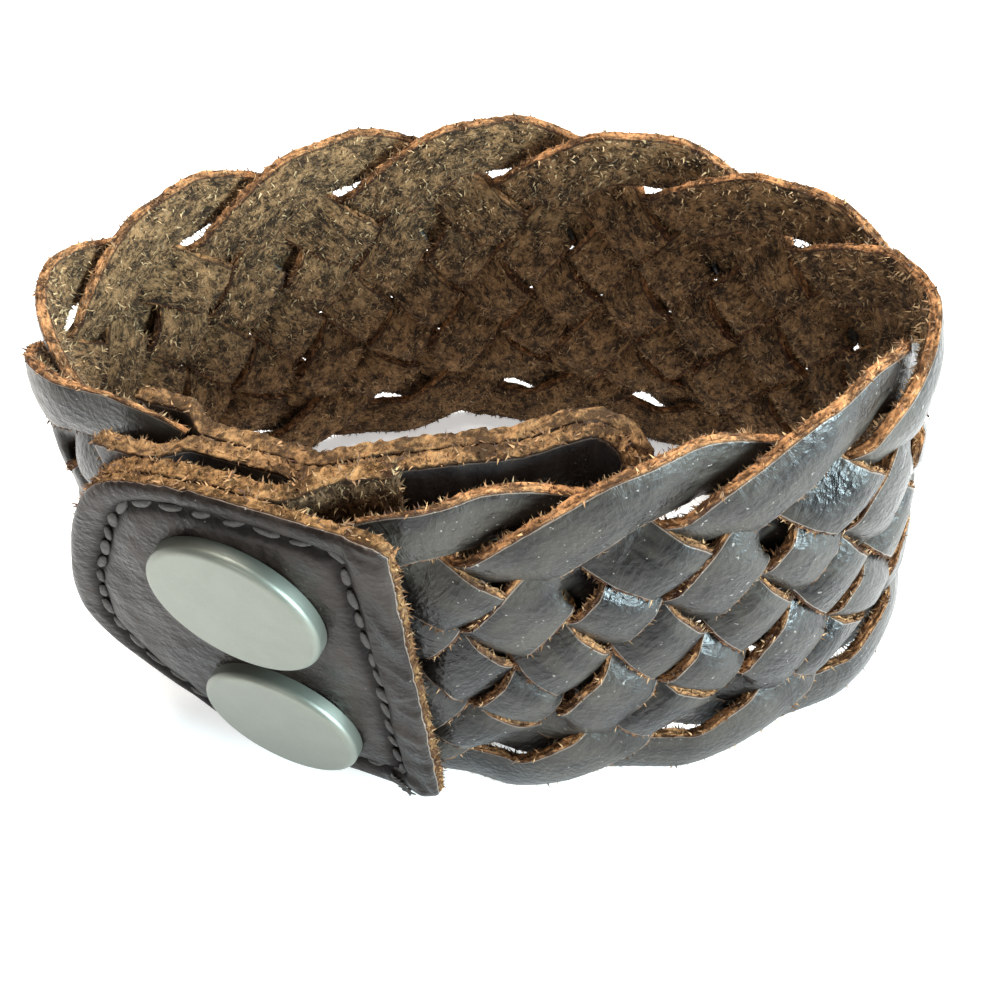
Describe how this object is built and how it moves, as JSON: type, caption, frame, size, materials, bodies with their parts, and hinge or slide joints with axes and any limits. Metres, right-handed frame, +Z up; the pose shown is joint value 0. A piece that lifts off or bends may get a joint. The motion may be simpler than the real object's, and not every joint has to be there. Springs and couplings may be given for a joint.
{
  "type": "woven leather cuff bracelet",
  "caption": "Wide cuff woven from flat leather strips, its ends sewn into a front tab and a tongue that overlap and fasten with flat round snaps.",
  "frame": {"origin": "centre of the footprint, on the surface the cuff stands on", "axes": "+Z up along the axis of the wrist opening, +X to the right along the front, with the tab and its caps at the front left, -Y to the front"},
  "size_m": [0.0828, 0.0532, 0.0402],
  "materials": {
    "strip_leather": "waxed grain outside, rough brown cut edges, suede inside",
    "grain_leather": "waxed smooth grain, rough tan cut edges",
    "lining_leather": "suede side turned in, rough tan cut edges",
    "snap_metal": "satin, pale grey"
  },
  "bodies": {
    "root": {"strip_1": "strip_leather", "strip_2": "strip_leather", "strip_3": "strip_leather", "strip_4": "strip_leather", "strip_5": "strip_leather", "strip_6": "strip_leather", "strip_7": "strip_leather", "strip_8": "strip_leather", "tab_outer": "grain_leather", "tab_inner": "lining_leather", "tongue_outer": "grain_leather", "tongue_inner": "lining_leather", "cap_upper": "snap_metal", "cap_lower": "snap_metal", "socket_upper": "snap_metal", "socket_lower": "snap_metal", "stud_upper": "snap_metal", "stud_lower": "snap_metal", "post_upper": "snap_metal", "post_lower": "snap_metal", "spare_stud_upper": "snap_metal", "spare_stud_lower": "snap_metal", "spare_post_upper": "snap_metal", "spare_post_lower": "snap_metal"}
  },
  "joints": []
}
